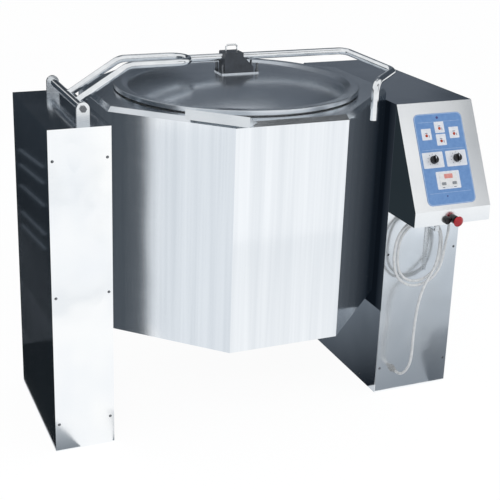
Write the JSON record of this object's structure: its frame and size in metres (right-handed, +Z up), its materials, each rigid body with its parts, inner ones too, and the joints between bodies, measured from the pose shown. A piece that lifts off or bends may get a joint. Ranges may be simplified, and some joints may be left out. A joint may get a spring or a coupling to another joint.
{
  "type": "steam jacketed kettle",
  "caption": "Tilting steam jacketed kettle: an octagonal casing with a round vessel hung between two floor pillars, with a hinged lid on a tube arm and a sloped control console.",
  "frame": {"origin": "on the floor, in the middle of the overall width and depth of the bounding box, nearly below the tilting axis", "axes": "+Z up; +X from the lid hinge's pillar to the control pillar, along the tilting axis; -Y towards the cook, where the kettle tilts to"},
  "size_m": [1.364, 0.9303, 1.1735],
  "materials": {
    "brushed_sheet": "brushed stainless sheet",
    "polished_sheet": "polished stainless sheet",
    "bright_tube": "polished stainless tube",
    "vessel_steel": "satin stainless",
    "fastener_steel": "plain stainless",
    "machined_steel": "turned steel",
    "cast_housing": "painted casting",
    "motor_paint": "semi-gloss paint",
    "block_metal": "dark machined block",
    "seal_rubber": "soft moulded",
    "heater_metal": "heat-tinted tube",
    "valve_brass": "cast and turned",
    "blue_overlay": "printed film",
    "lamp_plastic": "clear lens",
    "display_plastic": "dark red window",
    "black_plastic": "moulded",
    "red_plastic": "moulded gloss",
    "white_jacket": "extruded cord jacket",
    "gland_plastic": "moulded"
  },
  "bodies": {
    "frame": {"left_pillar_shell": "brushed_sheet", "left_pillar_cover": "polished_sheet", "left_cover_screws": "fastener_steel", "left_base_plate": "machined_steel", "left_bearing": "cast_housing", "left_bearing_bolts": "fastener_steel", "hinge_lug_front": "polished_sheet", "hinge_lug_rear": "polished_sheet", "hinge_pins": "fastener_steel", "right_pillar_shell": "brushed_sheet", "right_pillar_cover": "polished_sheet", "right_cover_screws": "fastener_steel", "right_side_screws": "fastener_steel", "right_base_plate": "machined_steel", "right_bearing": "cast_housing", "right_bearing_bolts": "fastener_steel", "tilt_gearbox": "cast_housing", "tilt_motor": "motor_paint", "console_housing": "brushed_sheet", "control_panel": "blue_overlay", "lamp_lenses": "lamp_plastic", "display_window": "display_plastic", "knob_collars": "black_plastic", "stop_button_body": "black_plastic", "alarm_buzzer": "black_plastic", "console_gland": "gland_plastic", "pillar_gland": "gland_plastic", "cord_hook": "polished_sheet", "cord_coil": "white_jacket", "cord_lead": "white_jacket", "cord_tail": "white_jacket"},
    "kettle": {"kettle_casing": "brushed_sheet", "kettle_deck": "polished_sheet", "kettle_floor": "brushed_sheet", "kettle_floor_screws": "fastener_steel", "inner_vessel": "vessel_steel", "steam_jacket": "vessel_steel", "heating_elements": "heater_metal", "safety_valve": "valve_brass", "left_trunnion": "machined_steel", "right_trunnion": "machined_steel", "left_trunnion_bracket": "vessel_steel", "right_trunnion_bracket": "vessel_steel", "pouring_lip": "polished_sheet"},
    "lid": {"lid_shell": "polished_sheet", "lid_seal": "seal_rubber", "lid_foot": "polished_sheet", "lid_studs": "fastener_steel", "lid_clamp_block": "block_metal", "lid_wire_handle": "bright_tube", "hinge_shaft": "bright_tube", "lid_loop": "bright_tube", "lid_bar": "bright_tube"},
    "left_knob": {"left_selector_knob": "black_plastic"},
    "right_knob": {"right_selector_knob": "black_plastic"},
    "stop_head": {"stop_button_head": "red_plastic"}
  },
  "joints": [
    {"name": "kettle_tilt", "type": "hinge", "parent": "frame", "child": "kettle", "pos_m": [-0.0455, 0, 0.7], "axis": [1, 0, 0], "range_deg": [0, 90]},
    {"name": "lid_open", "type": "hinge", "parent": "frame", "child": "lid", "pos_m": [-0.564, 0, 1.036], "axis": [0, -1, 0], "range_deg": [0, 112.5]},
    {"name": "left_knob_turn", "type": "hinge", "parent": "frame", "child": "left_knob", "pos_m": [0.504, -0.29373, 0.84135], "axis": [0, -0.8873, 0.4612], "range_deg": [-135, 135]},
    {"name": "right_knob_turn", "type": "hinge", "parent": "frame", "child": "right_knob", "pos_m": [0.588, -0.29373, 0.84135], "axis": [0, -0.8873, 0.4612], "range_deg": [-135, 135]},
    {"name": "stop_press", "type": "slide", "parent": "frame", "child": "stop_head", "axis": [0, 1, 0], "range_m": [0, 0.005], "stiffness_N_per_m": 600}
  ],
  "couplings": [
    {"joint": "lid_open", "follows": "kettle_tilt", "ratio": 1.25}
  ]
}
